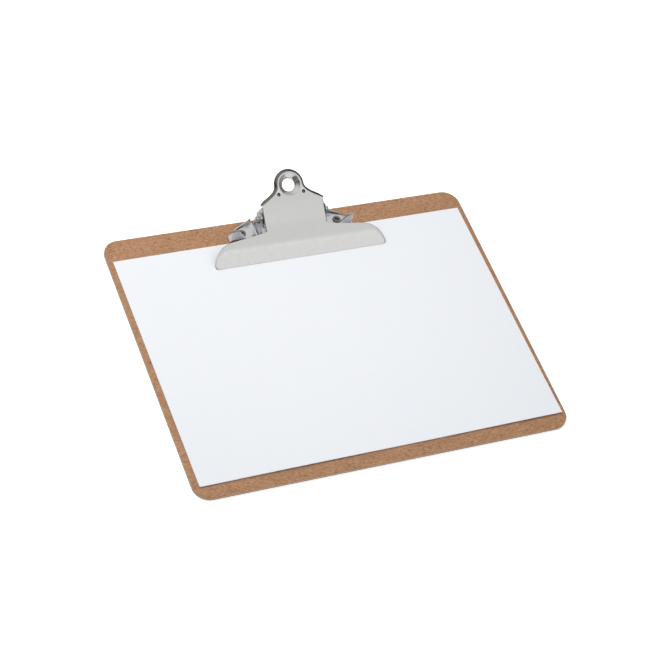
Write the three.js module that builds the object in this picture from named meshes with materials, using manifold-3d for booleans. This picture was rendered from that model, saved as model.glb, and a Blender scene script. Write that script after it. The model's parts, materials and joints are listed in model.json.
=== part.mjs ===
// A hardboard clipboard with a lever-operated steel clip, in millimetres.
// The origin is at the centre of the board's underside: +X along the long edge,
// +Y towards the edge that carries the clip, +Z up from the resting face.

import * as THREE from 'three';
import { mergeVertices } from 'three/addons/utils/BufferGeometryUtils.js';
import Module from 'manifold-3d';

const wasm = await Module();
wasm.setup();

// ---------------------------------------------------------------- driving dimensions

const BOARD = { width: 306, depth: 241, thickness: 3, cornerRadius: 13 };
const PAPER = { width: 297, depth: 210, thickness: 0.3, x: 0.5, y: -4.1, turnDeg: 0.22 };
const SHEET = 1;              // thickness of the steel sheet in the clip
const REST_GAP = 0.1;         // between pieces stacked on each other
const SHAFT_GAP = 0.3;        // between a shaft and the hole round it
const CLIP_X = 1;             // the clip is riveted on this far right of the board's middle

// The lever is drawn flat: x across the board, s up the plate from the lip, n out of its face.
const LEVER = {
  tiltDeg: 32.9, lipY: 76.5, lipZ: BOARD.thickness + REST_GAP + PAPER.thickness + REST_GAP,
  crown: 0.6, lipHalf: 69.8, neckHalf: 26.3, neckFoot: 23.6, shoulder: 44.4,
};
const HEAD = { s: 58.5, radius: 10.2 };
const RIM = { radius: 2.4, skirt: 0.6 };
const HANG_HOLE = { mouthRadius: 8.5, throatRadius: 5.5, depth: 3.4 };
const PILOT_HOLE = { x: 10.6, s: 51.6, radius: 1.5 };

const PIN = { y: 109.5, z: 17.8, radius: 1.5, halfLength: 31, headRadius: 2.1, headLength: 1.2 };

const BRACKET = {
  frontY: 101.9, backY: 118.5, wingTipX: 53.2, wingTipY: 108, backBendX: 47, backBendY: 111.3,
  earInnerX: 27.2, earTopRadius: 4.8, wallTop: 10,
};
const STOP = { outerX: 51.4, topInnerX: 48, baseInnerX: 40, top: 16.6 };
const RIVET = { x: 41, y: 108, shank: 2, bore: 1.25, flange: 3.3, flangeThickness: 0.9, sink: 1.4 };

const SPRING = {
  wireRadius: 0.8, coilRadius: 3.1, pitch: 1.95, turns: 4, innerX: 12, baseLegY: 116.6, leverLegS: 47,
};

const ROUND_SIDES = 32;
const WIRE_SIDES = 8;

const STEEL = { color: 0xc9cac8, roughness: 0.22, metalness: 1 };
const HARDBOARD = { color: 0xa87f62, roughness: 0.78, metalness: 0 };
const WHITE_PAPER = { color: 0xe9edf1, roughness: 0.9, metalness: 0 };
const SPRING_STEEL = { color: 0xb3b3b0, roughness: 0.3, metalness: 1 };

const clipboard = new THREE.Group();
const clip = new THREE.Group();
clip.position.x = CLIP_X;
clipboard.add(clip);

// ---------------------------------------------------------------- solid helpers

function solidOf(geometry) {
  const bare = geometry.clone();
  bare.deleteAttribute('normal');
  bare.deleteAttribute('uv');
  const welded = mergeVertices(bare, 1e-4);
  return new wasm.Manifold(new wasm.Mesh({
    numProp: 3,
    vertProperties: new Float32Array(welded.attributes.position.array),
    triVerts: new Uint32Array(welded.index.array),
  }));
}

function geometryOf(solid) {
  const mesh = solid.getMesh();
  const geometry = new THREE.BufferGeometry();
  geometry.setAttribute('position', new THREE.BufferAttribute(new Float32Array(mesh.vertProperties), 3));
  geometry.setIndex(new THREE.BufferAttribute(new Uint32Array(mesh.triVerts), 1));
  geometry.computeVertexNormals();
  return geometry;
}

function joined(geometries) {
  return geometries.map(solidOf).reduce((whole, piece) => whole.add(piece));
}

function without(solid, geometries) {
  return geometries.map(solidOf).reduce((rest, piece) => rest.subtract(piece), solid);
}

function addPiece(name, geometry, finish, group = clip) {
  const mesh = new THREE.Mesh(geometry, new THREE.MeshStandardMaterial(finish));
  mesh.name = name;
  group.add(mesh);
  return mesh;
}

function extruded(shape, from, to, curveSegments = 10) {
  const options = { depth: to - from, bevelEnabled: false, curveSegments };
  return new THREE.ExtrudeGeometry(shape, options).translate(0, 0, from);
}

// A shape drawn with its first coordinate along Y and its second along Z, given a length along X.
function extrudedAlongX(shape, from, to, curveSegments = 10) {
  const turn = new THREE.Matrix4().makeBasis(
    new THREE.Vector3(0, 1, 0),
    new THREE.Vector3(0, 0, 1),
    new THREE.Vector3(1, 0, 0),
  );
  return extruded(shape, from, to, curveSegments).applyMatrix4(turn);
}

// A shape drawn with its first coordinate along X and its second along Z, given a length along Y.
function extrudedAlongY(shape, from, to) {
  return extruded(shape, -to, -from).rotateX(Math.PI / 2);
}

function uprightRod(x, y, radius, bottom, top) {
  const rod = new THREE.CylinderGeometry(radius, radius, top - bottom, ROUND_SIDES);
  return rod.rotateX(Math.PI / 2).translate(x, y, (bottom + top) / 2);
}

function rodAlongX(y, z, radius, from, to) {
  const rod = new THREE.CylinderGeometry(radius, radius, to - from, ROUND_SIDES);
  return rod.rotateZ(Math.PI / 2).translate((from + to) / 2, y, z);
}

function polygon(points) {
  return new THREE.Shape(points.map(([a, b]) => new THREE.Vector2(a, b)));
}

function mirrored(points) {
  return points.map(([a, b]) => [-a, b]).reverse();
}

// ---------------------------------------------------------------- board and paper

function roundedRectangle(width, depth, radius) {
  const x = width / 2 - radius;
  const y = depth / 2 - radius;
  const shape = new THREE.Shape();
  shape.absarc(x, y, radius, 0, Math.PI / 2);
  shape.absarc(-x, y, radius, Math.PI / 2, Math.PI);
  shape.absarc(-x, -y, radius, Math.PI, 1.5 * Math.PI);
  shape.absarc(x, -y, radius, 1.5 * Math.PI, 2 * Math.PI);
  return shape;
}

// The hardboard panel, bored for the two rivets, with a shallow sink under each so that it lies flat.
function boardPanel() {
  const outline = roundedRectangle(BOARD.width, BOARD.depth, BOARD.cornerRadius);
  const panel = solidOf(extruded(outline, 0, BOARD.thickness, 12));
  const holes = [CLIP_X - RIVET.x, CLIP_X + RIVET.x].flatMap((x) => [
    uprightRod(x, RIVET.y, RIVET.shank + SHAFT_GAP, -1, BOARD.thickness + 1),
    uprightRod(x, RIVET.y, RIVET.flange + SHAFT_GAP, -1, RIVET.sink),
  ]);
  return geometryOf(without(panel, holes));
}

addPiece('board', boardPanel(), HARDBOARD, clipboard);

const paper = new THREE.BoxGeometry(PAPER.width, PAPER.depth, PAPER.thickness);
paper.translate(0, 0, BOARD.thickness + REST_GAP + PAPER.thickness / 2);
const paperSheet = addPiece('paper_sheet', paper, WHITE_PAPER, clipboard);
paperSheet.position.set(PAPER.x, PAPER.y, 0);
paperSheet.rotation.z = THREE.MathUtils.degToRad(PAPER.turnDeg);

// ---------------------------------------------------------------- clip lever

// Half of the jaw's outline, from the lip's end round the tip and along the top to the neck.
function drawRightJaw(shape) {
  shape.lineTo(LEVER.lipHalf, 0);
  shape.quadraticCurveTo(73.2, 0.2, 72.9, 3.4);
  shape.bezierCurveTo(71.8, 10.5, 65.9, 18.6, 55.8, 19.8);
  shape.lineTo(LEVER.neckHalf, LEVER.neckFoot);
  shape.lineTo(LEVER.neckHalf, LEVER.shoulder);
}

// The line round the tongue's head, from the right shoulder over the top to the left shoulder.
function drawHead(path) {
  const side = [HEAD.radius, HEAD.s];
  path.bezierCurveTo(17, 49.3, 10.5, 52.5, ...side);
  path.absarc(0, HEAD.s, HEAD.radius, 0, Math.PI);
  path.bezierCurveTo(-10.5, 52.5, -17, 49.3, -LEVER.neckHalf, LEVER.shoulder);
}

function faceOutline() {
  const shape = new THREE.Shape();
  shape.moveTo(0, 0);
  drawRightJaw(shape);
  drawHead(shape);
  shape.lineTo(-LEVER.neckHalf, LEVER.neckFoot);
  shape.lineTo(-55.8, 19.8);
  shape.bezierCurveTo(-65.9, 18.6, -71.8, 10.5, -72.9, 3.4);
  shape.quadraticCurveTo(-73.2, 0.2, -LEVER.lipHalf, 0);
  return shape;
}

// The plate seen from the side: a low crown across the jaw, flat from the neck up,
// and a lip ground level with the paper.
function sideProfile() {
  const tilt = THREE.MathUtils.degToRad(LEVER.tiltDeg);
  const crown = [[0, 0], [5, 0.42], [11, 1], [18, 0.6], [25, 0.1]];
  const face = crown.map(([s, share]) => [s, share * LEVER.crown]);
  const lipBack = SHEET / Math.tan(tilt);
  const back = face.slice(1).reverse().map(([s, n]) => [s, n - SHEET]);
  return polygon([...face, [31, 0], [80, 0], [80, -SHEET], [31, -SHEET], ...back, [lipBack, -SHEET]]);
}

// The edge of the head turned back through a quarter circle, with a short skirt.
function headRim() {
  const head = new THREE.Path();
  head.moveTo(LEVER.neckHalf, LEVER.shoulder);
  drawHead(head);
  const line = withoutRepeats(head.getPoints(9));
  const inner = RIM.radius - SHEET;
  const bend = [0, 30, 60, 90].map((degrees) => THREE.MathUtils.degToRad(degrees));
  const outerArc = bend.map((a) => [RIM.radius * Math.sin(a), RIM.radius * (Math.cos(a) - 1)]);
  const innerArc = bend.map((a) => [inner * Math.sin(a), inner * Math.cos(a) - RIM.radius]).reverse();
  const skirtEnd = -RIM.radius - RIM.skirt;
  const root = [[-0.3, -SHEET], [-0.3, 0]];
  const section = [...outerArc, [RIM.radius, skirtEnd], [inner, skirtEnd], ...innerArc, ...root];
  return sweptAlong(line, section.reverse());
}

function withoutRepeats(points) {
  return points.filter((point, i) => i === 0 || point.distanceTo(points[i - 1]) > 0.05);
}

// A closed section (out from the line, along the normal), listed anticlockwise,
// carried along a flat line of points.
function sweptAlong(line, section) {
  const positions = [];
  line.forEach((point, i) => {
    const before = line[Math.max(i - 1, 0)];
    const after = line[Math.min(i + 1, line.length - 1)];
    const along = new THREE.Vector2().subVectors(after, before).normalize();
    section.forEach(([out, n]) => positions.push(point.x + along.y * out, point.y - along.x * out, n));
  });
  const sides = section.length;
  const index = [];
  for (let i = 0; i < line.length - 1; i += 1) {
    for (let j = 0; j < sides; j += 1) {
      const a = i * sides + j;
      const b = i * sides + (j + 1) % sides;
      index.push(a, a + sides, b, b, a + sides, b + sides);
    }
  }
  const cap = THREE.ShapeUtils.triangulateShape(section.map(([a, b]) => new THREE.Vector2(a, b)), []);
  const last = (line.length - 1) * sides;
  cap.forEach(([a, b, c]) => index.push(a, b, c, last + a, last + c, last + b));
  const geometry = new THREE.BufferGeometry();
  geometry.setAttribute('position', new THREE.Float32BufferAttribute(positions, 3));
  geometry.setIndex(index);
  return geometry;
}

// The hang hole's wall, drawn through from the face like a funnel.
function hangHoleFunnel() {
  const { mouthRadius, throatRadius, depth } = HANG_HOLE;
  const wall = [
    [mouthRadius + 0.4, 0], [mouthRadius, 0], [mouthRadius - 1, -0.5], [throatRadius + 0.5, -depth * 0.5],
    [throatRadius, -depth], [throatRadius + SHEET, -depth], [throatRadius + 1.6, -depth * 0.6],
    [mouthRadius + 0.4, -SHEET], [mouthRadius + 0.4, 0],
  ];
  const profile = wall.map(([r, n]) => new THREE.Vector2(r, n));
  return new THREE.LatheGeometry(profile, ROUND_SIDES).rotateX(Math.PI / 2).translate(0, HEAD.s, 0);
}

// The pin's place on the flat drawing of the lever.
function pinOnLever() {
  const tilt = THREE.MathUtils.degToRad(LEVER.tiltDeg);
  const y = PIN.y - LEVER.lipY;
  const z = PIN.z - LEVER.lipZ;
  return { s: y * Math.cos(tilt) + z * Math.sin(tilt), n: z * Math.cos(tilt) - y * Math.sin(tilt) };
}

// A cheek bent down from the side of the neck, with the pin's hole near its middle.
function neckCheek(from, to) {
  const cheek = new THREE.Shape();
  cheek.moveTo(LEVER.neckFoot + 0.6, -0.5);
  cheek.lineTo(LEVER.shoulder - 0.6, -0.5);
  cheek.lineTo(41.6, -13);
  cheek.quadraticCurveTo(40.6, -17, 37, -16);
  cheek.quadraticCurveTo(32.4, -14.4, 29.5, -9);
  cheek.quadraticCurveTo(27, -4, LEVER.neckFoot + 0.6, -1.8);
  return extrudedAlongX(cheek, from, to);
}

function clipLever() {
  const tilt = THREE.MathUtils.degToRad(LEVER.tiltDeg);
  const plate = solidOf(extrudedAlongX(sideProfile(), -80, 80))
    .intersect(solidOf(extruded(faceOutline(), -5, 5, 9)));
  const drilled = without(plate, [
    uprightRod(0, HEAD.s, HANG_HOLE.mouthRadius + 0.25, -5, 5),
    uprightRod(-PILOT_HOLE.x, PILOT_HOLE.s, PILOT_HOLE.radius, -5, 5),
    uprightRod(PILOT_HOLE.x, PILOT_HOLE.s, PILOT_HOLE.radius, -5, 5),
  ]);
  const cheeks = joined([
    neckCheek(-LEVER.neckHalf, -LEVER.neckHalf + SHEET),
    neckCheek(LEVER.neckHalf - SHEET, LEVER.neckHalf),
  ]);
  const pin = pinOnLever();
  const bored = without(cheeks, [rodAlongX(pin.s, pin.n, PIN.radius + SHAFT_GAP, -80, 80)]);
  const lever = drilled.add(bored).add(joined([headRim(), hangHoleFunnel()]));
  return geometryOf(lever).rotateX(tilt).translate(0, LEVER.lipY, LEVER.lipZ);
}

addPiece('clip_lever', clipLever(), STEEL);

// ---------------------------------------------------------------- base bracket

const BRACKET_BOTTOM = BOARD.thickness + REST_GAP;
const BRACKET_TOP = BRACKET_BOTTOM + SHEET;

function bracketFloor() {
  const { frontY, backY, wingTipX, wingTipY, backBendX, backBendY, earInnerX } = BRACKET;
  const right = [
    [wingTipX, frontY], [wingTipX, wingTipY], [backBendX, backBendY], [earInnerX + SHEET, backY],
  ];
  return extruded(polygon([...right, ...mirrored(right)]), BRACKET_BOTTOM, BRACKET_TOP);
}

// An upright ear with a round top about the pin.
function bracketEar(from, to) {
  const { frontY, backY, wallTop, earTopRadius } = BRACKET;
  const ear = new THREE.Shape();
  ear.moveTo(frontY + 1, BRACKET_BOTTOM + 0.2);
  ear.lineTo(backY - 0.2, BRACKET_BOTTOM + 0.2);
  ear.lineTo(backY - 0.4, wallTop);
  ear.absarc(PIN.y, PIN.z, earTopRadius, -0.1, Math.PI + 0.1);
  ear.lineTo(frontY + 1, BRACKET_TOP + 3);
  return extrudedAlongX(ear, from, to);
}

// The wing's back edge turned up, rising from nothing at the bend to the ear.
function wingWall(side) {
  const { backY, backBendX, backBendY, earInnerX, wallTop } = BRACKET;
  const reach = Math.hypot(backBendX - earInnerX, backY - backBendY);
  const angle = Math.atan2(backBendY - backY, backBendX - earInnerX);
  const z = BRACKET_BOTTOM + 0.2;
  const wall = polygon([[0.2, z], [reach, z], [reach, BRACKET_TOP + 0.4], [0.2, wallTop]]);
  const strip = extrudedAlongY(wall, -SHEET, -0.2).rotateZ(angle).translate(earInnerX, backY, 0);
  return side > 0 ? strip : flippedInX(strip);
}

// A mirror image across X, with its triangles turned so that they still face out.
function flippedInX(geometry) {
  const flat = geometry.clone().scale(-1, 1, 1);
  const corner = flat.attributes.position;
  for (let i = 0; i < corner.count; i += 3) {
    const second = new THREE.Vector3().fromBufferAttribute(corner, i + 1);
    const third = new THREE.Vector3().fromBufferAttribute(corner, i + 2);
    corner.setXYZ(i + 1, third.x, third.y, third.z);
    corner.setXYZ(i + 2, second.x, second.y, second.z);
  }
  return flat;
}

// An upright tab at the wing's front edge, which the sheets' top edge rests against.
function paperStop(side) {
  const z = BRACKET_BOTTOM + 0.2;
  const right = [
    [STOP.baseInnerX, z], [STOP.outerX, z], [STOP.outerX, STOP.top], [STOP.topInnerX, STOP.top],
  ];
  const outline = polygon(side > 0 ? right : mirrored(right));
  return extrudedAlongY(outline, BRACKET.frontY, BRACKET.frontY + SHEET);
}

function baseBracket() {
  const { earInnerX } = BRACKET;
  const whole = joined([
    bracketFloor(),
    bracketEar(earInnerX, earInnerX + SHEET),
    bracketEar(-earInnerX - SHEET, -earInnerX),
    wingWall(1),
    wingWall(-1),
    paperStop(1),
    paperStop(-1),
  ]);
  return geometryOf(without(whole, [
    rodAlongX(PIN.y, PIN.z, PIN.radius + SHAFT_GAP, -80, 80),
    uprightRod(-RIVET.x, RIVET.y, RIVET.shank + SHAFT_GAP, 0, 10),
    uprightRod(RIVET.x, RIVET.y, RIVET.shank + SHAFT_GAP, 0, 10),
  ]));
}

addPiece('base_bracket', baseBracket(), STEEL);

// ---------------------------------------------------------------- hinge pin and rivets

// A plain pin with a small upset head outside each ear.
function hingePin() {
  const { radius, halfLength, headRadius, headLength } = PIN;
  const inner = halfLength - headLength;
  const profile = [
    [0, -halfLength], [headRadius - 0.6, -halfLength], [headRadius, -halfLength + 0.5],
    [headRadius, -inner], [radius, -inner], [radius, inner], [headRadius, inner],
    [headRadius, halfLength - 0.5], [headRadius - 0.6, halfLength], [0, halfLength],
  ].map(([r, x]) => new THREE.Vector2(r, x));
  return new THREE.LatheGeometry(profile, ROUND_SIDES).rotateZ(Math.PI / 2).translate(0, PIN.y, PIN.z);
}

addPiece('hinge_pin', hingePin(), STEEL);

// A tubular rivet: a rounded flange over the bracket, and a rolled flange sunk into the board's back.
function tubularRivet(x) {
  const { shank, bore, flange, flangeThickness, sink } = RIVET;
  const head = BRACKET_TOP + REST_GAP;
  const tail = sink - REST_GAP;
  const section = [
    [bore, tail - flangeThickness + 0.3], [shank, tail - flangeThickness], [flange - 0.4, tail - flangeThickness],
    [flange, tail - 0.4], [flange - 0.2, tail], [shank, tail], [shank, head], [flange - 0.1, head],
    [flange, head + 0.3], [flange - 0.7, head + flangeThickness], [shank, head + flangeThickness + 0.1],
    [bore, head + flangeThickness - 0.3],
  ];
  const profile = [...section, section[0]].map(([r, z]) => new THREE.Vector2(r, z));
  return new THREE.LatheGeometry(profile, ROUND_SIDES).rotateX(Math.PI / 2).translate(x, RIVET.y, 0);
}

addPiece('rivet_left', tubularRivet(-RIVET.x), STEEL);
addPiece('rivet_right', tubularRivet(RIVET.x), STEEL);

// ---------------------------------------------------------------- torsion springs

// The angle on the coil, about the pin, where a straight leg to the given point leaves it.
function legAngle(y, z, side) {
  const reach = Math.hypot(y - PIN.y, z - PIN.z);
  return Math.atan2(z - PIN.z, y - PIN.y) + side * Math.acos(SPRING.coilRadius / reach);
}

// One coil round the pin: a leg bears down on the bracket's floor at one end of it,
// and a leg bears up on the lever's back at the other.
function torsionSpring(side) {
  const { wireRadius, coilRadius, pitch, turns, innerX, baseLegY, leverLegS } = SPRING;
  const tilt = THREE.MathUtils.degToRad(LEVER.tiltDeg);
  const depth = SHEET + wireRadius + SHAFT_GAP;
  const floorEnd = { y: baseLegY, z: BRACKET_TOP + wireRadius + SHAFT_GAP };
  const leverEnd = {
    y: LEVER.lipY + leverLegS * Math.cos(tilt) + depth * Math.sin(tilt),
    z: LEVER.lipZ + leverLegS * Math.sin(tilt) - depth * Math.cos(tilt),
  };
  const start = legAngle(floorEnd.y, floorEnd.z, -1);
  const stop = legAngle(leverEnd.y, leverEnd.z, 1) - 2 * Math.PI * (turns + 1);
  const steps = turns * 14;
  const points = [new THREE.Vector3(side * innerX, floorEnd.y, floorEnd.z)];
  for (let i = 0; i <= steps; i += 1) {
    const angle = start + (stop - start) * i / steps;
    const x = innerX + pitch * Math.abs(angle - start) / (2 * Math.PI);
    const y = PIN.y + coilRadius * Math.cos(angle);
    points.push(new THREE.Vector3(side * x, y, PIN.z + coilRadius * Math.sin(angle)));
  }
  points.push(new THREE.Vector3(points.at(-1).x, leverEnd.y, leverEnd.z));
  const wire = new THREE.Shape();
  wire.absarc(0, 0, wireRadius, 0, 2 * Math.PI);
  const path = new THREE.CatmullRomCurve3(points, false, 'centripetal');
  const options = { steps: steps + 12, extrudePath: path, curveSegments: WIRE_SIDES, bevelEnabled: false };
  return new THREE.ExtrudeGeometry(wire, options);
}

addPiece('torsion_spring_left', torsionSpring(-1), SPRING_STEEL);
addPiece('torsion_spring_right', torsionSpring(1), SPRING_STEEL);

export default clipboard;
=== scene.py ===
"""The looks of a hardboard clipboard with a sprung steel clip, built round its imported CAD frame."""

import json
import math

import bmesh
import bpy
from mathutils import Matrix, Vector
from mathutils.geometry import delaunay_2d_cdt, interpolate_bezier


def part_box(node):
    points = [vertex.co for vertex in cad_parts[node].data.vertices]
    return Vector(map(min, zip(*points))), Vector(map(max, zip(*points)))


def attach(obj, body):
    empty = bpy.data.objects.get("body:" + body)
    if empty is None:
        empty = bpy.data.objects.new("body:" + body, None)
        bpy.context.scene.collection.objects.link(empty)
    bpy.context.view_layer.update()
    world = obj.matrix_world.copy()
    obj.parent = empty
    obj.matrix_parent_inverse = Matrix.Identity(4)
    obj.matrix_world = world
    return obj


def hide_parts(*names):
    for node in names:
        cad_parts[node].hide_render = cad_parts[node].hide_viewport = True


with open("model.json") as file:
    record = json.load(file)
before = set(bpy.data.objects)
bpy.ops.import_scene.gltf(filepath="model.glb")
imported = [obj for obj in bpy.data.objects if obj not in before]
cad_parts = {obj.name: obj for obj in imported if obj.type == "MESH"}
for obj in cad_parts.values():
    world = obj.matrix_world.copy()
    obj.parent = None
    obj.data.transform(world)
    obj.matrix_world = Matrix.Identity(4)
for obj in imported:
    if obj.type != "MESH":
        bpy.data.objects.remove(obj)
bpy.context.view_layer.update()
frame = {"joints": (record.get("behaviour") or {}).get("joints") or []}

MM = 0.001
BOARD_LOW, BOARD_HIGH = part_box("board")
PAPER_LOW, PAPER_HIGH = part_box("paper_sheet")
LEVER_LOW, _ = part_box("clip_lever")
BRACKET_LOW, BRACKET_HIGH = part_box("base_bracket")
HINGE = next(joint for joint in frame["joints"] if joint["name"] == "jaw_hinge")
CLIP_X, PIN_Y, PIN_Z = (value / MM for value in HINGE["pos_m"])


# ---------------------------------------------------------------- camera, light and floor


def make_camera():
    """A long lens over the board's near left corner, rolled a little, as a hand-held product view."""
    camera = bpy.data.cameras.new("camera")
    camera.lens = 106.8
    camera.sensor_width = 36
    camera.clip_start = 0.05
    camera.clip_end = 20
    rig = bpy.data.objects.new("camera", camera)
    bpy.context.scene.collection.objects.link(rig)
    right = Vector((0.91397, -0.34744, 0.20964))
    up = Vector((0.16148, 0.78536, 0.59760))
    back = right.cross(up).normalized()
    turn = Matrix((right, up, back)).transposed().to_4x4()
    rig.matrix_world = Matrix.Translation((-0.57019, -0.78502, 1.18702)) @ turn
    bpy.context.scene.camera = rig


def link_nodes(tree, *pairs):
    for source, target in pairs:
        tree.links.new(source, target)


def grade(node, stops):
    """Sets a colour ramp's stops, each a place on it and a colour."""
    elements = node.color_ramp.elements
    while len(elements) < len(stops):
        elements.new(0.5)
    for element, (at, colour) in zip(elements, stops):
        element.position = at
        element.color = (*colour, 1)


def make_world():
    """A white studio for plain light. Metal mirrors a bright ceiling, a soft box and dim walls instead."""
    world = bpy.data.worlds.new("studio")
    bpy.context.scene.world = world
    world.use_nodes = True
    tree = world.node_tree
    tree.nodes.clear()
    out = tree.nodes.new("ShaderNodeOutputWorld")
    rays = tree.nodes.new("ShaderNodeLightPath")
    place = tree.nodes.new("ShaderNodeTexCoord")

    split = tree.nodes.new("ShaderNodeSeparateXYZ")
    ceiling = tree.nodes.new("ShaderNodeValToRGB")
    levels = [(0.0, 0.15), (0.36, 0.13), (0.52, 0.55), (0.68, 0.98), (0.84, 0.99), (1.0, 1.0)]
    grade(ceiling, [(at, (level,) * 3) for at, level in levels])
    forward = tree.nodes.new("ShaderNodeMath")
    forward.operation = "MULTIPLY"
    forward.inputs[1].default_value = -1
    front = tree.nodes.new("ShaderNodeValToRGB")
    levels = [(0.0, 0.0), (0.450, 0.0), (0.474, 0.31), (0.500, 0.165), (0.62, 0.15), (0.80, 0.0)]
    grade(front, [(at, (level,) * 3) for at, level in levels])
    room = tree.nodes.new("ShaderNodeMath")
    room.operation = "ADD"
    link_nodes(
        tree,
        (place.outputs["Generated"], split.inputs[0]),
        (split.outputs["Z"], ceiling.inputs[0]),
        (split.outputs["Y"], forward.inputs[0]),
        (forward.outputs[0], front.inputs[0]),
        (ceiling.outputs["Color"], room.inputs[0]),
        (front.outputs["Color"], room.inputs[1]),
    )
    mirrored = tree.nodes.new("ShaderNodeBackground")
    diffuse = tree.nodes.new("ShaderNodeBackground")
    diffuse.inputs["Color"].default_value = (0.96, 0.98, 1.0, 1)
    diffuse.inputs["Strength"].default_value = 0.525
    backdrop = tree.nodes.new("ShaderNodeBackground")
    backdrop.inputs["Color"].default_value = (1, 1, 1, 1)
    by_gloss = tree.nodes.new("ShaderNodeMixShader")
    by_camera = tree.nodes.new("ShaderNodeMixShader")
    link_nodes(
        tree,
        (room.outputs[0], mirrored.inputs["Strength"]),
        (rays.outputs["Is Glossy Ray"], by_gloss.inputs[0]),
        (diffuse.outputs[0], by_gloss.inputs[1]),
        (mirrored.outputs[0], by_gloss.inputs[2]),
        (rays.outputs["Is Camera Ray"], by_camera.inputs[0]),
        (by_gloss.outputs[0], by_camera.inputs[1]),
        (backdrop.outputs[0], by_camera.inputs[2]),
        (by_camera.outputs[0], out.inputs["Surface"]),
    )


def make_light(name, place, target, size, watts, colour=(1, 1, 1)):
    """A disk of light that the metal doesn't mirror."""
    light = bpy.data.lights.new(name, "AREA")
    light.shape = "DISK"
    light.size = size
    light.energy = watts
    light.color = colour
    rig = bpy.data.objects.new(name, light)
    rig.location = place
    rig.rotation_euler = (Vector(target) - Vector(place)).to_track_quat("-Z", "Y").to_euler()
    rig.visible_glossy = False
    bpy.context.scene.collection.objects.link(rig)


def make_floor():
    """A wide white floor with a soft shadow; the metal mirrors it as a dim table with a pale card on it."""
    half = 3.0
    mesh = bpy.data.meshes.new("floor")
    corners = [(-half, -half, 0), (half, -half, 0), (half, half, 0), (-half, half, 0)]
    mesh.from_pydata(corners, [], [(0, 1, 2, 3)])
    floor = bpy.data.objects.new("floor", mesh)
    bpy.context.scene.collection.objects.link(floor)
    material = bpy.data.materials.new("floor_white")
    material.use_nodes = True
    tree = material.node_tree
    shader = tree.nodes["Principled BSDF"]
    shader.inputs["Base Color"].default_value = (0.93, 0.93, 0.93, 1)
    shader.inputs["Roughness"].default_value = 0.9
    shader.inputs["Specular IOR Level"].default_value = 0.1
    shader.inputs["Emission Color"].default_value = (1, 1, 1, 1)
    shader.inputs["Emission Strength"].default_value = 0.5
    dim = tree.nodes.new("ShaderNodeEmission")
    place = tree.nodes.new("ShaderNodeTexCoord")
    split = tree.nodes.new("ShaderNodeSeparateXYZ")
    across = tree.nodes.new("ShaderNodeMapRange")
    for key, value in (("From Min", -0.2), ("From Max", 0.2), ("To Min", 0), ("To Max", 1)):
        across.inputs[key].default_value = value
    card = tree.nodes.new("ShaderNodeValToRGB")
    table, paper_card = 0.20, 0.62
    levels = [(0.15, table), (0.25, paper_card), (0.56, paper_card), (0.64, table)]
    grade(card, [(at, (level, level * 0.99, level * 0.97)) for at, level in levels])
    rays = tree.nodes.new("ShaderNodeLightPath")
    by_gloss = tree.nodes.new("ShaderNodeMixShader")
    link_nodes(
        tree,
        (place.outputs["Object"], split.inputs[0]),
        (split.outputs["X"], across.inputs["Value"]),
        (across.outputs["Result"], card.inputs[0]),
        (card.outputs["Color"], dim.inputs["Color"]),
        (rays.outputs["Is Glossy Ray"], by_gloss.inputs[0]),
        (shader.outputs[0], by_gloss.inputs[1]),
        (dim.outputs[0], by_gloss.inputs[2]),
        (by_gloss.outputs[0], tree.nodes["Material Output"].inputs["Surface"]),
    )
    mesh.materials.append(material)


make_camera()
make_world()
make_light("key", (-0.5, 0.62, 1.05), (-0.05, 0.05, 0), 0.9, 9.5, (1.0, 0.99, 0.97))
make_light("fill", (0.9, -1.4, 1.9), (0, 0, 0), 1.8, 5, (0.96, 0.98, 1.0))
make_light("glow", (0.03, -0.01, 0.30), (0.03, 0.03, 0), 0.25, 0.09)
make_floor()
bpy.context.scene.view_settings.view_transform = "Standard"


# ---------------------------------------------------------------- materials


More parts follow.
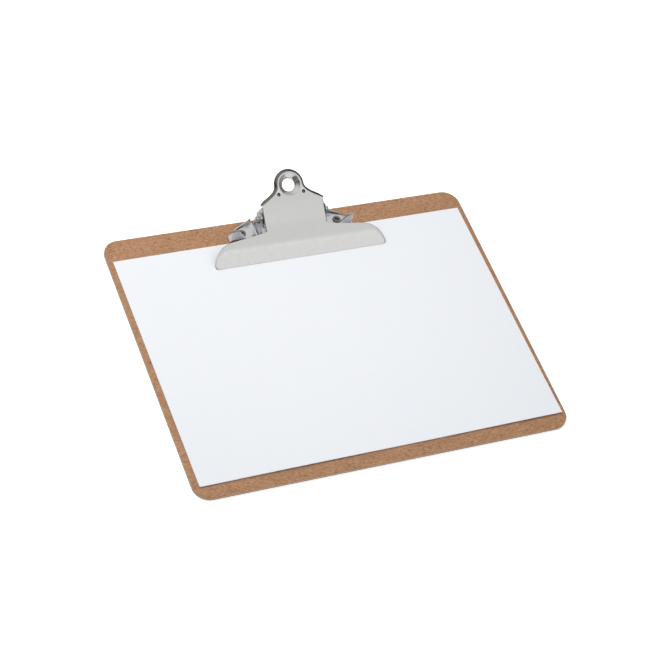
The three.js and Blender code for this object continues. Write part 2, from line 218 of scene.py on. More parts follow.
class Nodes:
    """A material's node tree, with short calls for the nodes that these materials use."""

    def __init__(self, name):
        self.material = bpy.data.materials.new(name)
        self.material.use_nodes = True
        self.tree = self.material.node_tree
        self.shader = self.tree.nodes["Principled BSDF"]

    def link(self, source, target):
        self.tree.links.new(source, target)

    def add(self, kind, **values):
        node = self.tree.nodes.new(kind)
        for key, value in values.items():
            setattr(node, key, value)
        return node

    def place(self, stretch=(1, 1, 1), turn=(0, 0, 0)):
        """Object coordinates in metres, stretched and turned."""
        coordinates = self.add("ShaderNodeTexCoord")
        mapping = self.add("ShaderNodeMapping")
        mapping.inputs["Scale"].default_value = stretch
        mapping.inputs["Rotation"].default_value = turn
        self.link(coordinates.outputs["Object"], mapping.inputs["Vector"])
        return mapping.outputs["Vector"]

    def noise(self, vector, scale, detail=3, roughness=0.6, distortion=0.0):
        node = self.add("ShaderNodeTexNoise")
        node.inputs["Scale"].default_value = scale
        node.inputs["Detail"].default_value = detail
        node.inputs["Roughness"].default_value = roughness
        node.inputs["Distortion"].default_value = distortion
        self.link(vector, node.inputs["Vector"])
        return node.outputs["Fac"]

    def ramp(self, factor, *stops):
        node = self.add("ShaderNodeValToRGB")
        grade(node, stops)
        self.link(factor, node.inputs[0])
        return node.outputs["Color"]

    def spread(self, factor, low, high, to_low=0.0, to_high=1.0):
        """The factor's range from low to high, carried to another range."""
        node = self.add("ShaderNodeMapRange")
        for key, value in zip(("From Min", "From Max", "To Min", "To Max"), (low, high, to_low, to_high)):
            node.inputs[key].default_value = value
        self.link(factor, node.inputs["Value"])
        return node.outputs["Result"]

    def math(self, operation, a, b):
        node = self.add("ShaderNodeMath", operation=operation)
        for value, socket in zip((a, b), node.inputs):
            if isinstance(value, (int, float)):
                socket.default_value = value
            else:
                self.link(value, socket)
        return node.outputs[0]

    def mix(self, factor, a, b):
        node = self.add("ShaderNodeMix", data_type="RGBA")
        for value, key in ((factor, 0), (a, 6), (b, 7)):
            if isinstance(value, (int, float)):
                node.inputs[key].default_value = value
            elif isinstance(value, tuple):
                node.inputs[key].default_value = (*value, 1)
            else:
                self.link(value, node.inputs[key])
        return node.outputs[2]

    def bump(self, height, distance, strength=1.0, normal=None):
        node = self.add("ShaderNodeBump")
        node.inputs["Distance"].default_value = distance
        node.inputs["Strength"].default_value = strength
        self.link(height, node.inputs["Height"])
        if normal is not None:
            self.link(normal, node.inputs["Normal"])
        return node.outputs["Normal"]


def hardboard():
    """Pressed wood fibre: short light and dark fibres in every direction, paler on the sawn edge."""
    n = Nodes("hardboard")
    grain = [
        n.noise(n.place((1, 2.6, 1), (0, 0, angle)), scale, 4, 0.7, 0.5)
        for angle, scale in ((0.35, 330), (1.45, 390), (2.45, 300))
    ]
    fibres = n.math("MAXIMUM", n.math("MAXIMUM", grain[0], grain[1]), grain[2])
    pits = n.math("MINIMUM", n.math("MINIMUM", grain[0], grain[1]), grain[2])
    clouds = n.noise(n.place(), 70, 4, 0.7)
    dust = n.noise(n.place(), 1700, 3, 0.75)
    specks = n.noise(n.place(), 520, 1, 0.4)
    base = n.ramp(
        n.spread(clouds, 0.32, 0.68),
        (0.0, (0.405, 0.210, 0.108)),
        (1.0, (0.492, 0.262, 0.137)),
    )
    light = n.mix(n.spread(fibres, 0.56, 0.72, 0, 0.8), base, (0.68, 0.45, 0.28))
    dark = n.mix(n.spread(pits, 0.45, 0.30, 0, 0.95), light, (0.19, 0.082, 0.038))
    speckled = n.mix(n.spread(dust, 0.40, 0.70, 0, 0.34), dark, (0.27, 0.135, 0.072))
    spotted = n.mix(n.spread(specks, 0.69, 0.75, 0, 0.7), speckled, (0.13, 0.058, 0.03))
    facing = n.add("ShaderNodeSeparateXYZ")
    geometry = n.add("ShaderNodeNewGeometry")
    n.link(geometry.outputs["Normal"], facing.inputs[0])
    side = n.spread(n.math("ABSOLUTE", facing.outputs["Z"], 0), 0.8, 0.3)
    sawn = n.mix(n.spread(dust, 0.3, 0.7), (0.34, 0.235, 0.16), (0.46, 0.335, 0.24))
    n.link(n.mix(side, spotted, sawn), n.shader.inputs["Base Color"])
    n.link(n.spread(grain[0], 0.3, 0.7, 0.50, 0.70), n.shader.inputs["Roughness"])
    n.shader.inputs["Specular IOR Level"].default_value = 0.35
    rough = n.bump(grain[1], 0.00012, 0.5)
    n.link(n.bump(dust, 0.00006, 0.5, rough), n.shader.inputs["Normal"])
    return n.material


def paper_stock():
    """Uncoated writing paper: a faint cloudy formation and a fine felt texture."""
    n = Nodes("writing_paper")
    cloud = n.noise(n.place(), 160, 4, 0.6)
    felt = n.noise(n.place(), 4200, 3, 0.6)
    tone = n.mix(n.spread(cloud, 0.3, 0.7), (0.84, 0.856, 0.886), (0.852, 0.867, 0.894))
    n.link(tone, n.shader.inputs["Base Color"])
    n.link(n.spread(felt, 0.3, 0.7, 0.82, 0.95), n.shader.inputs["Roughness"])
    n.shader.inputs["Specular IOR Level"].default_value = 0.25
    n.link(n.bump(felt, 0.00003, 0.35), n.shader.inputs["Normal"])
    return n.material


def plated_steel(name, tint, gloss, wave=0.00006):
    """Bright nickel plate on pressed sheet: slow waves from the press, haze and hairline scratches."""
    n = Nodes(name)
    n.shader.inputs["Metallic"].default_value = 1.0
    waves = n.noise(n.place(), 55, 2, 0.5)
    haze = n.noise(n.place(), 240, 4, 0.65)
    hair = n.noise(n.place((60, 1.6, 1.6), (0.4, 0.2, 0.5)), 150, 3, 0.6)
    scuff = n.noise(n.place((2, 70, 2), (0.1, 0.3, -0.3)), 120, 3, 0.6)
    warm = tuple(c * k for c, k in zip(tint, (0.975, 0.972, 0.96)))
    n.link(n.mix(n.spread(haze, 0.35, 0.7), tint, warm), n.shader.inputs["Base Color"])
    streaks = n.math("MAXIMUM", n.spread(hair, 0.62, 0.72), n.spread(scuff, 0.64, 0.74))
    hazy = n.spread(haze, 0.3, 0.7, gloss * 0.8, gloss * 1.3)
    dull = n.math("ADD", hazy, n.math("MULTIPLY", streaks, 0.10))
    n.link(dull, n.shader.inputs["Roughness"])
    slow = n.bump(waves, wave, 0.6)
    n.link(n.bump(streaks, 0.000004, 0.5, slow), n.shader.inputs["Normal"])
    return n.material


def spring_wire():
    """Drawn spring wire with fine marks along its length."""
    n = Nodes("spring_wire")
    n.shader.inputs["Metallic"].default_value = 1.0
    marks = n.noise(n.place(), 1500, 4, 0.7)
    blush = n.noise(n.place(), 200, 3, 0.6)
    tone = n.mix(n.spread(blush, 0.3, 0.7), (0.50, 0.49, 0.46), (0.60, 0.60, 0.59))
    n.link(tone, n.shader.inputs["Base Color"])
    n.link(n.spread(marks, 0.3, 0.7, 0.24, 0.42), n.shader.inputs["Roughness"])
    n.link(n.bump(marks, 0.00002, 0.4), n.shader.inputs["Normal"])
    return n.material


HARDBOARD = hardboard()
PAPER = paper_stock()
LEVER_STEEL = plated_steel("lever_nickel", (0.73, 0.73, 0.725), 0.115)
# The head's rim and the two pilot dimples get a dark brownish steel: painted shade, standing in for the dark
# surroundings that the bright plate mirrors along these curves.
EDGE_STEEL_PAINTED_SHADE = plated_steel("lever_edge_painted_shade", (0.27, 0.24, 0.205), 0.2)
BRACKET_STEEL = plated_steel("bracket_nickel", (0.70, 0.695, 0.72), 0.15)
PIN_STEEL = plated_steel("pin_nickel", (0.70, 0.70, 0.69), 0.18, 0.00002)
# The rivet heads get a dark steel: painted shade, darker than the bright plate round them.
RIVET_STEEL_PAINTED_SHADE = plated_steel("rivet_nickel_painted_shade", (0.30, 0.285, 0.265), 0.22, 0.00002)
SPRING_WIRE = spring_wire()


# ---------------------------------------------------------------- mesh helpers


def add_piece(name, mesh, material, body, slot, *nodes):
    """Links a mesh as a piece that rides on a body in the place of its CAD nodes."""
    mesh.name = name
    mesh.materials.append(material)
    piece = bpy.data.objects.new(name, mesh)
    bpy.context.scene.collection.objects.link(piece)
    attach(piece, body)
    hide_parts(*nodes)
    return piece


def add_clip_piece(name, mesh, *rest):
    """Links a mesh that is drawn about the clip's own middle."""
    mesh.transform(Matrix.Translation((CLIP_X * MM, 0, 0)))
    return add_piece(name, mesh, *rest)


def mesh_of(points, faces, second=()):
    """A welded, smooth mesh from points in mm and faces; second lists the second material's faces."""
    mesh = bpy.data.meshes.new("mesh")
    mesh.from_pydata([Vector(p) * MM for p in points], [], faces)
    for i in second:
        mesh.polygons[i].material_index = 1
    shape = bmesh.new()
    shape.from_mesh(mesh)
    bmesh.ops.remove_doubles(shape, verts=shape.verts, dist=0.00002)
    bmesh.ops.dissolve_degenerate(shape, edges=shape.edges, dist=0.00001)
    shape.to_mesh(mesh)
    shape.free()
    mesh.shade_smooth()
    return mesh


def outward(mesh):
    """The mesh with its faces turned outwards."""
    shape = bmesh.new()
    shape.from_mesh(mesh)
    bmesh.ops.recalc_face_normals(shape, faces=shape.faces)
    shape.to_mesh(mesh)
    shape.free()
    return mesh


def within(point, loop):
    """Whether a flat point lies inside a closed loop."""
    inside = False
    for (x0, y0), (x1, y1) in zip(loop, loop[1:] + loop[:1]):
        if (y0 > point.y) != (y1 > point.y) and point.x < x0 + (point.y - y0) * (x1 - x0) / (y1 - y0):
            inside = not inside
    return inside


class Sheet:
    """Points and faces of a surface as it is collected, in millimetres."""

    def __init__(self):
        self.points = []
        self.faces = []

    def grid(self, rows):
        """Joins rows of points, all of one length, with quads."""
        start = len(self.points)
        width = len(rows[0])
        for row in rows:
            self.points.extend(row)
        for i in range(len(rows) - 1):
            for j in range(width - 1):
                a = start + i * width + j
                self.faces.append((a, a + 1, a + 1 + width, a + width))

    def flat(self, outline, holes, place):
        """Fills a flat outline with holes; place turns a flat point into a point in space."""
        flat, edges = [], []
        for loop in (outline, *holes):
            first = len(flat)
            flat.extend(Vector(p) for p in loop)
            edges.extend((first + i, first + (i + 1) % len(loop)) for i in range(len(loop)))
        points, _, faces, *_ = delaunay_2d_cdt(flat, edges, [], 0, 1e-6)
        start = len(self.points)
        self.points.extend(place(p.x, p.y) for p in points)
        for face in faces:
            middle = sum((points[i] for i in face), Vector((0, 0))) / len(face)
            if within(middle, outline) and not any(within(middle, hole) for hole in holes):
                self.faces.append(tuple(start + i for i in face))


def closed(sheet):
    """The mesh of a closed sheet, faced outwards and with its corners kept sharp."""
    mesh = outward(mesh_of(sheet.points, sheet.faces))
    mesh.set_sharp_from_angle(angle=math.radians(40))
    return mesh


def modified(mesh, kind, **values):
    """The mesh after one modifier."""
    carrier = bpy.data.objects.new("carrier", mesh)
    bpy.context.scene.collection.objects.link(carrier)
    modifier = carrier.modifiers.new("step", kind)
    for key, value in values.items():
        setattr(modifier, key, value)
    bpy.context.view_layer.update()
    done = bpy.data.meshes.new_from_object(carrier.evaluated_get(bpy.context.evaluated_depsgraph_get()))
    bpy.data.objects.remove(carrier)
    return done


def thickened(mesh, facing, thickness, bevel, shift=None):
    """Gives a surface, turned to face the given way, a thickness behind it and rounded edges."""
    shape = bmesh.new()
    shape.from_mesh(mesh)
    bmesh.ops.recalc_face_normals(shape, faces=shape.faces)
    if sum(f.normal.dot(facing) * f.calc_area() for f in shape.faces) < 0:
        bmesh.ops.reverse_faces(shape, faces=shape.faces)
    shape.to_mesh(mesh)
    shape.free()
    plate = modified(mesh, "SOLIDIFY", thickness=thickness * MM, offset=-1, use_even_offset=True)
    if shift:
        for vertex in plate.vertices:
            vertex.co = shift(vertex.co)
    done = modified(
        plate, "BEVEL", width=bevel * MM, segments=3, limit_method="ANGLE", angle_limit=math.radians(50)
    )
    done.shade_smooth()
    done.set_sharp_from_angle(angle=math.radians(38))
    return done


def circle(x, y, radius, sides=40):
    steps = [2 * math.pi * i / sides for i in range(sides)]
    return [(x + radius * math.cos(a), y + radius * math.sin(a)) for a in steps]


def bezier(start, first, second, end, steps):
    """Points along a Bezier curve, with both ends."""
    knots = [Vector((*p, 0)) for p in (start, first, second, end)]
    return [(p.x, p.y) for p in interpolate_bezier(*knots, steps + 1)]


def turned(profile, sides, place):
    """A closed profile of (radius, height) points turned round an axis and put in space by place(x, y, h)."""
    sheet = Sheet()
    rows = []
    for i in range(sides + 1):
        a = 2 * math.pi * i / sides
        rows.append([place(r * math.cos(a), r * math.sin(a), h) for r, h in profile])
    sheet.grid(rows)
    return closed(sheet)


def arc(x, y, radius, start, stop, steps):
    """Points on an arc, its angles in degrees."""
    angles = [math.radians(start + (stop - start) * i / steps) for i in range(steps + 1)]
    return [(x + radius * math.cos(a), y + radius * math.sin(a)) for a in angles]


# ---------------------------------------------------------------- board and paper

RIVET_X, RIVET_Y = 41, 108


def board_mesh():
    """The panel with softened edges, round corners and the two rivet holes."""
    width, depth, thickness = ((BOARD_HIGH - BOARD_LOW) / MM)[:]
    radius, soft = 13, 0.35
    corners = [(1, 1, 0), (-1, 1, 90), (-1, -1, 180), (1, -1, 270)]

    def loop(inset):
        points = []
        for sx, sy, start in corners:
            x, y = sx * (width / 2 - radius), sy * (depth / 2 - radius)
            points.extend(arc(x, y, radius - inset, start, start + 90, 20))
        return points

    bends = [math.radians(a) for a in (0, 30, 60, 90)]
    edge = [(soft * (1 - math.sin(a)), soft * (1 - math.cos(a))) for a in bends]
    rings = edge + [(inset, thickness - z) for inset, z in reversed(edge)]
    sheet = Sheet()
    sheet.grid([[(x, y, z) for x, y in [*loop(inset), loop(inset)[0]]] for inset, z in rings])
    hole, sink, sink_depth = 2.3, 3.6, 1.4
    top_holes = [circle(CLIP_X + x, RIVET_Y, hole) for x in (-RIVET_X, RIVET_X)]
    low_holes = [circle(CLIP_X + x, RIVET_Y, sink) for x in (-RIVET_X, RIVET_X)]
    sheet.flat(loop(soft), top_holes, lambda x, y: (x, y, thickness))
    sheet.flat(loop(soft), low_holes, lambda x, y: (x, y, 0))
    for top, low in zip(top_holes, low_holes):
        wall = [(top, thickness), (top, sink_depth), (low, sink_depth), (low, 0)]
        sheet.grid([[(x, y, z) for x, y in [*ring, ring[0]]] for ring, z in wall])
    return closed(sheet)


add_piece("board_panel", board_mesh(), HARDBOARD, "board_body", "hardboard", "board")


def paper_mesh(level, shift_x, shift_y, turn):
    """One sheet of A4 with a slight wave in it, its four edges a little proud of the board."""
    width, depth, thickness = 297, 210, 0.085
    columns, rows = 54, 38
    centre = (PAPER_LOW + PAPER_HIGH) / 2 / MM

    def lift(u, v):
        """How far the sheet floats: held down under the jaw, a little proud along its front edge."""
        free = (1 - v) / 2
        ripple = math.sin(u * 5.1 + 0.6) * math.cos(v * 3.3 + 0.4)
        corner = (abs(u) ** 6) * free ** 3
        return 0.7 * free * free * (1 + 0.35 * ripple) + 0.2 * corner

    def point(i, j, z):
        u, v = 2 * i / columns - 1, 2 * j / rows - 1
        x, y = u * width / 2, v * depth / 2
        spin = math.radians(turn)
        px = centre.x + shift_x + x * math.cos(spin) - y * math.sin(spin)
        py = centre.y + shift_y + x * math.sin(spin) + y * math.cos(spin)
        return (px, py, z + lift(u, v))

    sheet = Sheet()
    for z in (level, level + thickness):
        sheet.grid([[point(i, j, z) for i in range(columns + 1)] for j in range(rows + 1)])
    ring = [(i, 0) for i in range(columns)] + [(columns, j) for j in range(rows)]
    ring += [(columns - i, rows) for i in range(columns)] + [(0, rows - j) for j in range(rows + 1)]
    sheet.grid([[point(i, j, z) for i, j in ring] for z in (level, level + thickness)])
    return closed(sheet)


def make_paper():
    base = PAPER_LOW.z / MM
    """Three loose sheets, each a little shifted and turned."""
    lays = [
        ("paper_under", 0.0, 0.25, -0.12, 0.27),
        ("paper_middle", 0.1, -0.2, 0.1, 0.2),
        ("paper_top", 0.2, 0, 0, 0.22),
    ]
    for name, rise, dx, dy, turn in lays:
        add_piece(name, paper_mesh(base + rise, dx, dy, turn), PAPER, "paper_body", "paper", "paper_sheet")


make_paper()


# ---------------------------------------------------------------- clip lever

TILT = math.radians(32.9)
LIP_Y, LIP_Z = LEVER_LOW.y / MM, LEVER_LOW.z / MM
NECK, NECK_FOOT, SHOULDER = 26.3, 23.6, 44.4
HEAD_S, HEAD_R = 58.5, 10.2
SHEET = 0.9
BEND = 1.3
LIP_BEND = 2.4
JAW_TIP, HORN_END = (72.9, 3.4), (55.8, 19.8)
MOUTH_R, CREST = 9.3, 0.6
PILOT_X, PILOT_S, PILOT_R = 10.6, 51.6, 1.5
PIN_HOLE = 1.8
CHEEK_ROWS = [24.9 + (43.6 - 24.9) * t / 10 for t in range(11)]


def on_lever(x, s, n):
    """A point of the flat drawing, x across, s up the plate and n out of its face, about the clip's middle."""
    y = LIP_Y + s * math.cos(TILT) - n * math.sin(TILT)
    z = LIP_Z + s * math.sin(TILT) + n * math.cos(TILT)
    return (x, y, z)


JAW_SLOPES = [(0, 0.04), (9, 0.04), (16.5, -0.024), (25, -0.024), (30, 0)]


def jaw_rise(s):
    """How far the plate has risen out of its own plane, from the lip up to s."""
    rise = 0
    for (a, low), (b, high) in zip(JAW_SLOPES, JAW_SLOPES[1:]):
        t = min(1.0, max(0.0, (s - a) / (b - a)))
        rise += (b - a) * (low * t + (high - low) * t * t / 2)
    return rise


def side_line(s):
    """The plate seen from the side: a jaw panel that dips 2 degrees towards its lip, then the flat neck."""
    if s >= JAW_SLOPES[-1][0]:
        return (s, 0)
    fall = max(0.0, (LIP_BEND - s) / LIP_BEND)
    return (s, jaw_rise(s) - jaw_rise(JAW_SLOPES[-1][0]) - 0.06 * fall * fall)


def jaw_edge():
    """The right half of the jaw's outline and the neck's side, from the lip up to the shoulder."""
    tip = bezier((69.8, 0), (72.07, 0.13), (73.1, 1.27), JAW_TIP, 5)
    horn = bezier(JAW_TIP, (71.8, 10.5), (65.9, 18.6), HORN_END, 14)
    x, s = HORN_END
    slope = [(x + (NECK - x) * t / 9, s + (NECK_FOOT - s) * t / 9) for t in range(1, 10)]
    return tip + horn[1:] + slope


def head_edge():
    """The head's outline from the right shoulder over the top to the left one."""
    right = bezier((NECK, SHOULDER), (17, 49.3), (10.5, 52.5), (HEAD_R, HEAD_S), 14)
    top = arc(0, HEAD_S, HEAD_R, 0, 180, 28)
    return right + top[1:-1] + [(-x, s) for x, s in reversed(right)]


def columns(half):
    """Where the plate's columns stand across a row of the given half width, closer together at its ends."""
    inner = [(half - 1.0) * i / 22 for i in range(-22, 23)]
    return [-half, -half + 0.3, -half + 0.6, *inner, half - 0.6, half - 0.3, half]


def lever_face(sheet):
    """The jaw and neck in rows across, up to the shoulder line; the jaw's ends are rolled down a little."""
    rows = jaw_edge()
    rows += [(NECK - BEND, s) for s in CHEEK_ROWS] + [(NECK, SHOULDER)]
    grid = []
    for half, s in rows:
        along, n = side_line(s)
        roll = 0.5 * min(1.0, max(0.0, (NECK_FOOT - s) / 3))
        row = []
        for x in columns(half):
            drop = roll * (1 - min(1, half - abs(x))) ** 2
            row.append(on_lever(x, along, n - drop))
        grid.append(row)
    sheet.grid(grid)


def lever_head(sheet):
    """The tongue above the shoulders, with the mouth of the hang hole and two pilot holes."""
    shoulder_line = [(x, SHOULDER) for x in columns(NECK)]
    outline = shoulder_line + head_edge()[1:-1]
    pilots = [circle(x, PILOT_S, PILOT_R, 16) for x in (-PILOT_X, PILOT_X)]
    sheet.flat(outline, [circle(0, HEAD_S, MOUTH_R, 56), *pilots], lambda x, s: on_lever(x, s, 0))


def lever_rim(sheet):
    """The head's edge, folded back at a slant round a tight bend."""
    radius, turn, flange = 0.8, 46, 2.63
    section = arc(0, -radius, radius, 90, 90 - turn, 7)
    slant = math.radians(turn)
    out, n = section[-1]
    section += [(out + flange * t * math.cos(slant), n - flange * t * math.sin(slant)) for t in (0.5, 1)]
    line = head_edge()
    rows = []
    for out, n in section:
        row = []
        for i, (x, s) in enumerate(line):
            full = min(1.0, 0.62 + 0.19 * min(i, len(line) - 1 - i))
            x0, s0 = line[max(i - 1, 0)]
            x1, s1 = line[min(i + 1, len(line) - 1)]
            along = Vector((x1 - x0, s1 - s0)).normalized()
            row.append(on_lever(x + along.y * out * full, s - along.x * out * full, n * full))
        rows.append(row)
    sheet.grid(rows)


def lever_funnel(sheet):
    """The hang hole's wall: a small round at the mouth, a steep cone and a short throat."""
    bends = [math.radians(a) for a in range(0, 51, 10)]
    round_off = [(MOUTH_R - CREST * math.sin(a), CREST * math.cos(a) - CREST) for a in bends]
    profile = [*round_off, (7.6, -1.4), (6.4, -2.4), (5.6, -3.1), (5.2, -3.6)]
    rows = []
    for r, n in profile:
        ring = circle(0, HEAD_S, r, 56)
        rows.append([on_lever(x, s, n) for x, s in [*ring, ring[0]]])
    sheet.grid(rows)


def lever_cheek(sheet, side):
    """A cheek bent down from the neck's side, with the pin's hole."""
    bends = [math.radians(15 * i) for i in range(7)]
    rows = []
    for a in bends:
        x = side * (NECK - BEND + BEND * math.sin(a))
        rows.append([on_lever(x, s, -BEND * (1 - math.cos(a))) for s in CHEEK_ROWS])
    sheet.grid(rows)
    top = [(s, -BEND) for s in CHEEK_ROWS]
    low = [(41.7, -12.4)]
    low += bezier((41.7, -12.4), (41.1, -16.2), (38.6, -17.4), (35.6, -15.2), 6)[1:]
    low += bezier((35.6, -15.2), (31.4, -12), (29.6, -8.6), (27.6, -5.2), 6)[1:]
    low += [(26.2, -3.4)]
    y, z = PIN_Y - LIP_Y, PIN_Z - LIP_Z
    pin = (y * math.cos(TILT) + z * math.sin(TILT), z * math.cos(TILT) - y * math.sin(TILT))
    sheet.flat(top + low, [circle(*pin, PIN_HOLE, 24)], lambda s, n: on_lever(side * NECK, s, n))


def lever_pilots(sheet):
    """The two small dimples punched in from the face."""
    profile = ((PILOT_R, 0), (1.4, -0.35), (1.35, -1.5), (0.8, -2.0), (0.02, -2.1))
    for x in (-PILOT_X, PILOT_X):
        rows = []
        for r, n in profile:
            ring = circle(x, PILOT_S, r, 16)
            rows.append([on_lever(px, ps, n) for px, ps in [*ring, ring[0]]])
        sheet.grid(rows)


def ground_lip(point):
    """Slides what lies below the sheet's top up along the plate, so that the lip ends in a level edge."""
    short = max(0.0, LIP_Z * MM - point.z) / math.sin(TILT)
    return point + Vector((0, math.cos(TILT), math.sin(TILT))) * short


def lever_mesh():
    sheet = Sheet()
    lever_rim(sheet)
    lever_pilots(sheet)
    # The faces made so far (rim and pilot dimples) take the second material, the dark steel with painted
    # shade.
    dark = range(len(sheet.faces))
    lever_face(sheet)
    lever_head(sheet)
    lever_funnel(sheet)
    lever_cheek(sheet, 1)
    lever_cheek(sheet, -1)
    surface = mesh_of(sheet.points, sheet.faces, dark)
    facing = Vector((0, -math.sin(TILT), math.cos(TILT)))
    return thickened(surface, facing, SHEET, 0.3, ground_lip)


lever = add_clip_piece("lever_plate", lever_mesh(), LEVER_STEEL, "lever_body", "plated_steel", "clip_lever")
# Second material: the dark steel with painted shade for the rim and pilot dimples.
lever.data.materials.append(EDGE_STEEL_PAINTED_SHADE)


# ---------------------------------------------------------------- base bracket

FLOOR_TOP = BRACKET_LOW.z / MM + 1
FRONT_Y, BACK_Y = BRACKET_LOW.y / MM, BRACKET_HIGH.y / MM
WING_X = BRACKET_HIGH.x / MM - CLIP_X
EAR_X = 28.2


def folded(sheet, start, end, radius, outline, holes=(), level=FLOOR_TOP):
    """A flap turned up from the floor along a bend line: a round bend, then a flat outline.
    The outline is (along the line from its start, height above the bend), its first row along the bend."""
    a, b = Vector(start), Vector(end)
    along = (b - a).normalized()
    out = Vector((along.y, -along.x))
    length = (b - a).length
    ticks = sorted({0.0, length, *[t for t, h in outline if h == 0 and 0 < t < length]})
    rows = []
    for i in range(7):
        angle = math.radians(15 * i)
        shift = out * (radius * math.sin(angle))
        rise = radius * (1 - math.cos(angle))
        rows.append([(*(a + along * t + shift), level + rise) for t in ticks])
    sheet.grid(rows)

    def place(t, h):
        return (*(a + along * t + out * radius), level + radius + h)

    sheet.flat(outline, holes, place)


def bracket_wing(side):
    """One wing, with its ear, paper stop and turned-up back edge, drawn on the right."""
    sheet = Sheet()
    ear_bend, stop_bend, wall_bend = 2.0, 0.9, 0.9
    ear_line = EAR_X + ear_bend
    stop_low, stop_high = 40.0, 51.4
    wall_low, wall_high = (46.4, 110.2), (31.0, 116.0)
    back = BACK_Y - 1.2
    floor = [
        (ear_line, FRONT_Y + 1), (stop_low, FRONT_Y + 1), (stop_low, FRONT_Y + 1.9),
        (stop_high, FRONT_Y + 1.9), (stop_high, FRONT_Y), (WING_X - 0.8, FRONT_Y), (WING_X, FRONT_Y + 0.8),
        (WING_X, 107.2), (WING_X - 0.7, 108.2), (47, 111.3), wall_low, wall_high, (31.0, back),
        (ear_line, back),
    ]
    hole = circle(RIVET_X, RIVET_Y, 2.3, 32)
    sheet.flat(floor, [hole], lambda x, y: (x, y, FLOOR_TOP))

    stop_width = stop_high - stop_low
    stop = [(0, 0), (stop_width, 0), (stop_width, 10.6), (stop_width - 0.8, 11.4), (stop_width - 3.6, 11.4),
            (stop_width - 4.4, 11.0), (0, 1.2)]
    folded(sheet, (stop_low, FRONT_Y + 1.9), (stop_high, FRONT_Y + 1.9), stop_bend, stop)

    wall_length = (Vector(wall_high) - Vector(wall_low)).length
    wall = [(0, 0), (wall_length, 0), (wall_length, 4.8), (0, 0.4)]
    folded(sheet, wall_low, wall_high, wall_bend, wall)

    foot = FLOOR_TOP + ear_bend
    ear_start = (ear_line, back)
    ear_length = back - FRONT_Y - 1
    pin = (back - PIN_Y, PIN_Z - foot)
    crown = arc(*pin, 4.8, -8, 188, 22)
    ear = [(0, 0), (ear_length, 0), (ear_length, 2.5), *crown, (0.3, 4.5)]
    folded(sheet, ear_start, (ear_line, FRONT_Y + 1), ear_bend, ear, [circle(*pin, PIN_HOLE, 24)])

    points = [(side * x, y, z) for x, y, z in sheet.points]
    surface = mesh_of(points, sheet.faces)
    return thickened(surface, Vector((0, 0, 1)), 0.95, 0.22)


def bracket_bridge():
    """The floor between the two ears, with a raised stiffening rib behind the pin."""
    sheet = Sheet()
    half = 27.4
    rib_y, rib_half, rib_high = 105.5, 1.8, 0.8
    stations = [FRONT_Y, FRONT_Y + 1]
    stations += [rib_y - rib_half + rib_half * i / 4 for i in range(9)]
    stations += [110, 114, BACK_Y - 0.4]
    rows = []
    for y in stations:
        near = max(0.0, 1 - ((y - rib_y) / rib_half) ** 2)
        row = []
        for i in range(-20, 21):
            x = half * i / 20
            fade = min(1.0, max(0.0, (half - 4 - abs(x)) / 4))
            row.append((x, y, FLOOR_TOP + rib_high * near * fade))
        rows.append(row)
    sheet.grid(rows)
    return thickened(mesh_of(sheet.points, sheet.faces), Vector((0, 0, 1)), 0.95, 0.2)


bracket_parts = {
    "bracket_wing_right": bracket_wing(1),
    "bracket_wing_left": bracket_wing(-1),
    "bracket_bridge": bracket_bridge(),
}
for name, mesh in bracket_parts.items():
    add_clip_piece(name, mesh, BRACKET_STEEL, "board_body", "plated_steel", "base_bracket")


# ---------------------------------------------------------------- pin, rivets and springs


def pin_mesh():
    """The hinge pin with a domed, upset head outside each ear."""
    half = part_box("hinge_pin")[1].x / MM - CLIP_X
    head, neck, shank = 2.1, 1.2, 1.5
    dome = [(head * math.cos(math.radians(a)), half - neck * 0.55 + neck * 0.55 * math.sin(math.radians(a)))
            for a in (0, 22, 45, 68, 90)]
    right = [(shank, 0), (shank, half - neck), (head - 0.15, half - neck), (head, half - neck + 0.15), *dome]
    profile = [(r, -h) for r, h in reversed(right)] + right[1:]
    return turned(profile, 36, lambda a, b, h: (h, PIN_Y + a, PIN_Z + b))


def rivet_mesh(x):
    """A tubular rivet: a rolled head over the bracket, a bore, and a rolled tail in the board's back."""
    head = FLOOR_TOP + 0.05
    shank, bore, flange = 2.0, 1.35, 3.3
    top = arc(flange - 0.55, head + 0.5, 0.5, -80, 80, 6)
    crest = bezier((flange - 0.5, head + 0.99), (2.6, head + 1.15), (1.7, head + 1.1), (bore, head + 0.1), 8)
    tail = [(bore, 0.7), (1.5, 0.42), (2.1, 0.32), (2.9, 0.4), (3.15, 0.75), (2.9, 1.05), (shank, 1.25)]
    profile = [*top, *crest[1:], *tail, (shank, head), top[0]]
    return turned(profile, 40, lambda a, b, h: (x + a, RIVET_Y + b, h))


def tube(points, radius, sides=14):
    """A round wire along a line of points, with rounded ends."""
    line = [Vector(p) for p in points]
    sheet = Sheet()
    rows = []
    side = (line[1] - line[0]).orthogonal().normalized()

    def ring(at, along, size):
        across = side - along * side.dot(along)
        across.normalize()
        other = along.cross(across)
        angles = [2 * math.pi * k / sides for k in range(sides + 1)]
        return across, [tuple(at + (across * math.cos(t) + other * math.sin(t)) * size) for t in angles]

    def cap(at, along, way, turns):
        for a in map(math.radians, turns):
            size = max(0.02, radius * math.sin(a))
            rows.append(ring(at + along * (way * radius * math.cos(a)), along, size)[1])

    for i, at in enumerate(line):
        along = (line[min(i + 1, len(line) - 1)] - line[max(i - 1, 0)]).normalized()
        if i == 0:
            cap(at, along, -1, (0, 30, 60))
        side, row = ring(at, along, radius)
        rows.append(row)
        if i == len(line) - 1:
            cap(at, along, 1, (60, 30, 0))
    sheet.grid(rows)
    count = len(sheet.points)
    sheet.faces.append(tuple(range(sides)))
    sheet.faces.append(tuple(range(count - 2, count - sides - 2, -1)))
    return outward(mesh_of(sheet.points, sheet.faces))


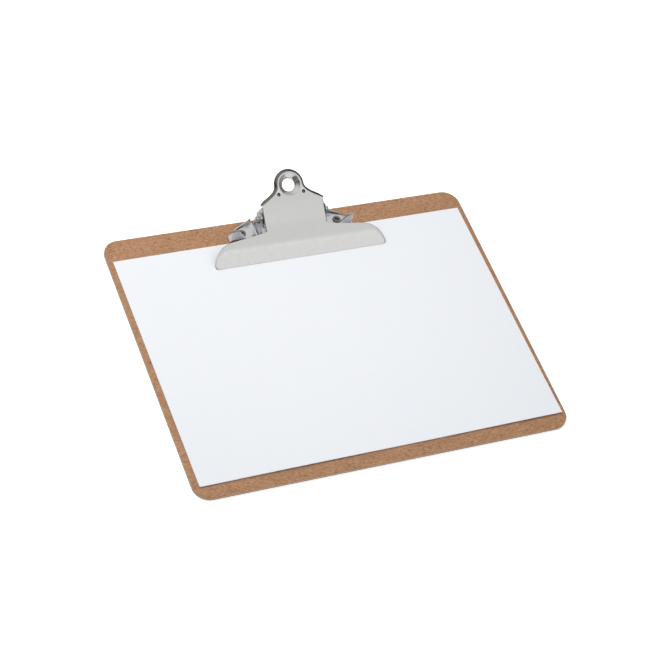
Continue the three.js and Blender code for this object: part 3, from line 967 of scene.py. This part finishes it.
WIRE, COIL, PITCH, TURNS, COIL_X = 0.8, 3.1, 1.95, 4, 12


def leg_angle(y, z, way):
    """The angle on the coil where a straight leg to the given point leaves it."""
    reach = math.hypot(y - PIN_Y, z - PIN_Z)
    return math.atan2(z - PIN_Z, y - PIN_Y) + way * math.acos(COIL / reach)


def spring_line(side):
    """The wire's line in two stretches that overlap on the coil: the bracket's and the lever's."""
    floor_end = (116.6, FLOOR_TOP + WIRE + 0.1)
    s, n = 47, -(SHEET + WIRE + 0.15)
    lever_end = on_lever(0, s, n)[1:]
    start = leg_angle(*floor_end, -1)
    stop = leg_angle(*lever_end, 1) - 2 * math.pi * (TURNS + 1)
    steps = TURNS * 40
    coil = []
    for i in range(steps + 1):
        angle = start + (stop - start) * i / steps
        x = COIL_X + PITCH * abs(angle - start) / (2 * math.pi)
        coil.append((side * x, PIN_Y + COIL * math.cos(angle), PIN_Z + COIL * math.sin(angle)))

    def leg(end, touch, x):
        y, z = (touch[1] - end[0]) / 8, (touch[2] - end[1]) / 8
        return [(side * x, end[0] + y * t, end[1] + z * t) for t in range(8)]

    last = abs(coil[-1][0])
    low = leg(floor_end, coil[0], COIL_X)
    high = leg(lever_end, coil[-1], last)
    half = steps // 2
    return low + coil[:half + 8], coil[half:] + list(reversed(high))


add_clip_piece("pin", pin_mesh(), PIN_STEEL, "board_body", "plated_steel", "hinge_pin")
for name, side in (("left", -1), ("right", 1)):
    eyelet = rivet_mesh(side * RIVET_X)
    add_clip_piece(f"rivet_{name}_eyelet", eyelet, RIVET_STEEL_PAINTED_SHADE, "board_body", "rivet_steel", f"rivet_{name}")
    fixed, moving = spring_line(side)
    stretches = (("fixed", fixed, WIRE - 0.02, "board_body"), ("moving", moving, WIRE, "lever_body"))
    for stretch, line, radius, body in stretches:
        piece = f"spring_{name}_{stretch}"
        add_clip_piece(piece, tube(line, radius), SPRING_WIRE, body, "spring_steel", f"torsion_spring_{name}")


# ---------------------------------------------------------------- final scene update

bpy.context.view_layer.update()
